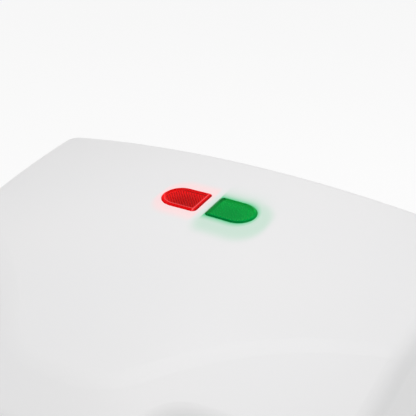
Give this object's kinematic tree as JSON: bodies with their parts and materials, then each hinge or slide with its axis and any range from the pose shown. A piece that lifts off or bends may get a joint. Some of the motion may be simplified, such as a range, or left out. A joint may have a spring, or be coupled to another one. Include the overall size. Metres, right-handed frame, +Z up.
{
  "type": "sandwich maker",
  "caption": "Countertop sandwich maker with a hinged domed lid, a latch clip on the handle, pocketed hot plates and red and green pilot lamps.",
  "frame": {"origin": "on the table under the middle of the closed cooker's box", "axes": "+X to the cooker's right side as seen from the front, -Y towards the handles, +Z up"},
  "size_m": [0.2732, 0.233, 0.0928],
  "materials": {
    "white_case": "white moulding, satin gloss",
    "cover_plastic": "dark grey moulding, fine grain",
    "foot_rubber": "black rubber",
    "frame_plastic": "dark heat-resistant moulding",
    "nonstick_plate": "black non-stick coat on cast metal",
    "heater_tube": "heat-tinted steel tube",
    "press_sheet": "mill finish sheet",
    "screw_steel": "zinc-plated steel",
    "pin_steel": "ground steel",
    "thermostat_case": "drawn aluminium cap on a dark body",
    "fuse_case": "plated case",
    "clip_steel": "spring steel strip",
    "block_ceramic": "glazed ceramic, cream",
    "gland_plastic": "black moulding",
    "clamp_plastic": "dark moulding",
    "lead_sleeve": "woven glass sleeve",
    "earth_sleeve": "yellow and green insulation",
    "red_lens": "clear red moulding, lit from behind",
    "green_lens": "clear green moulding, lit from behind",
    "holder_plastic": "white moulding",
    "lamp_glass": "clear glass",
    "resistor_sleeve": "heat-shrunk sleeve",
    "latch_plastic": "light grey moulding"
  },
  "bodies": {
    "base": {"base_shell": "white_case", "base_cover": "cover_plastic", "rubber_feet": "foot_rubber", "base_cover_screws": "screw_steel", "lower_frame": "frame_plastic", "lower_plate": "nonstick_plate", "lower_heating_element": "heater_tube", "lower_press_plate": "press_sheet", "lower_press_screws": "screw_steel", "lower_plate_screws": "screw_steel", "base_screws": "screw_steel", "hinge_pins": "pin_steel", "thermostat": "thermostat_case", "thermal_fuse": "fuse_case", "fuse_clip": "clip_steel", "terminal_block": "block_ceramic", "terminal_screws": "screw_steel", "cord_gland": "gland_plastic", "cord_clamp": "clamp_plastic", "cord_clamp_screws": "screw_steel", "base_leads": "lead_sleeve", "hinge_lead": "lead_sleeve", "earth_lead": "earth_sleeve"},
    "lid": {"lid_shell": "white_case", "upper_frame": "frame_plastic", "upper_plate": "nonstick_plate", "upper_heating_element": "heater_tube", "upper_press_plate": "press_sheet", "upper_press_screws": "screw_steel", "upper_plate_screws": "screw_steel", "lid_screws": "screw_steel", "red_lens": "red_lens", "green_lens": "green_lens", "lamp_holder": "holder_plastic", "lamp_holder_screws": "screw_steel", "red_lamp": "lamp_glass", "green_lamp": "lamp_glass", "lamp_resistors": "resistor_sleeve", "lid_leads": "lead_sleeve", "lamp_leads": "lead_sleeve", "latch_pin": "pin_steel"},
    "latch": {"latch_clip": "latch_plastic"}
  },
  "joints": [
    {"name": "lid_hinge", "type": "hinge", "parent": "base", "child": "lid", "pos_m": [0, 0.11, 0.046], "axis": [-1, 0, 0], "range_deg": [0, 105]},
    {"name": "latch_pivot", "type": "hinge", "parent": "lid", "child": "latch", "pos_m": [0, -0.1085, 0.061], "axis": [-1, 0, 0], "range_deg": [-10.5, 75]}
  ]
}
